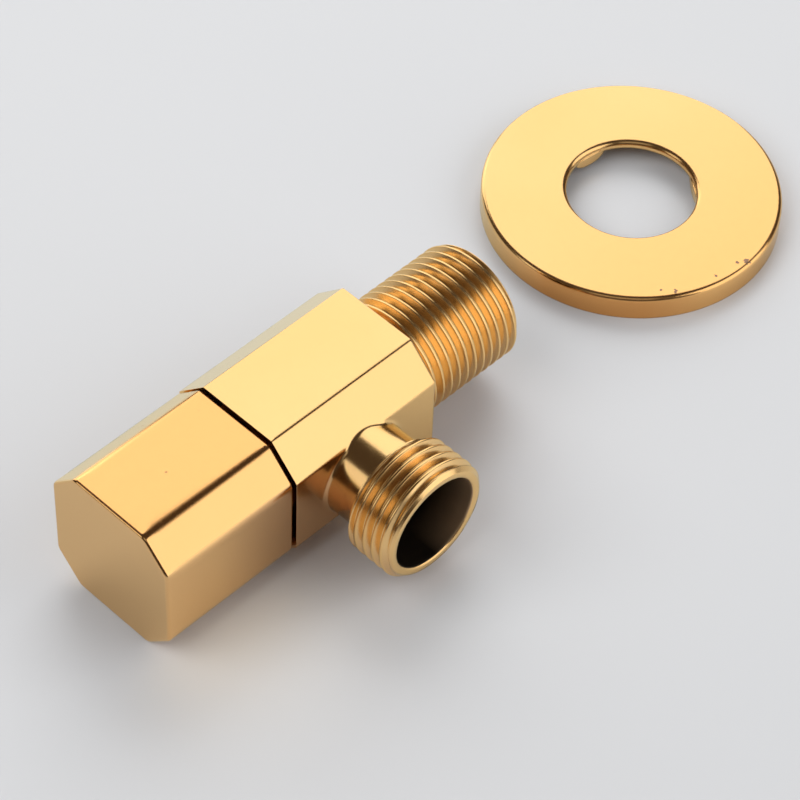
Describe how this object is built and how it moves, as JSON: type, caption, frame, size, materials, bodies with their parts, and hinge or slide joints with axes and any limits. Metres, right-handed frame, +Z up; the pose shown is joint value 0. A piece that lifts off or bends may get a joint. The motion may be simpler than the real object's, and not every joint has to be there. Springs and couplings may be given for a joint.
{
  "type": "angle stop valve",
  "caption": "Quarter-turn angle stop valve with a faceted square body and matching cap handle, threaded inlet, threaded side outlet, ceramic cartridge and a loose round wall plate.",
  "frame": {"origin": "on the valve axis at the rear shoulder of the body, where the inlet thread starts", "axes": "+Z up with the valve lying on its side, +Y along the valve axis towards the wall end of the inlet, +X along the outlet axis out of the valve; the handle points to -Y"},
  "size_m": [0.0581, 0.1472, 0.026],
  "materials": {
    "polished_gold": "mirror-polished gold coating on brass",
    "plain_brass": "turned brass, uncoated",
    "alumina": "lapped sintered ceramic",
    "black_rubber": "moulded rubber",
    "white_plastic": "moulded plastic",
    "steel": "plain steel"
  },
  "bodies": {
    "valve": {"valve_body": "polished_gold", "cartridge_housing": "plain_brass", "housing_o_ring": "black_rubber", "fixed_disc": "alumina", "seat_seal": "black_rubber", "seal_support_ring": "white_plastic"},
    "handle": {"handle_shell": "polished_gold", "handle_insert": "plain_brass", "handle_grub_screw": "steel", "spindle": "plain_brass", "spindle_clip": "steel", "thrust_washer": "white_plastic", "spindle_o_ring_inner": "black_rubber", "spindle_o_ring_outer": "black_rubber", "moving_disc": "alumina"},
    "wall_plate": {"escutcheon": "polished_gold"}
  },
  "joints": [
    {"name": "handle_turn", "type": "hinge", "parent": "valve", "child": "handle", "pos_m": [0, -0.03, 0], "axis": [0, -1, 0], "range_deg": [0, 90]},
    {"name": "escutcheon_lift", "type": "slide", "parent": "valve", "child": "wall_plate", "axis": [0, 0, 1], "range_m": [0, 0.06]}
  ]
}
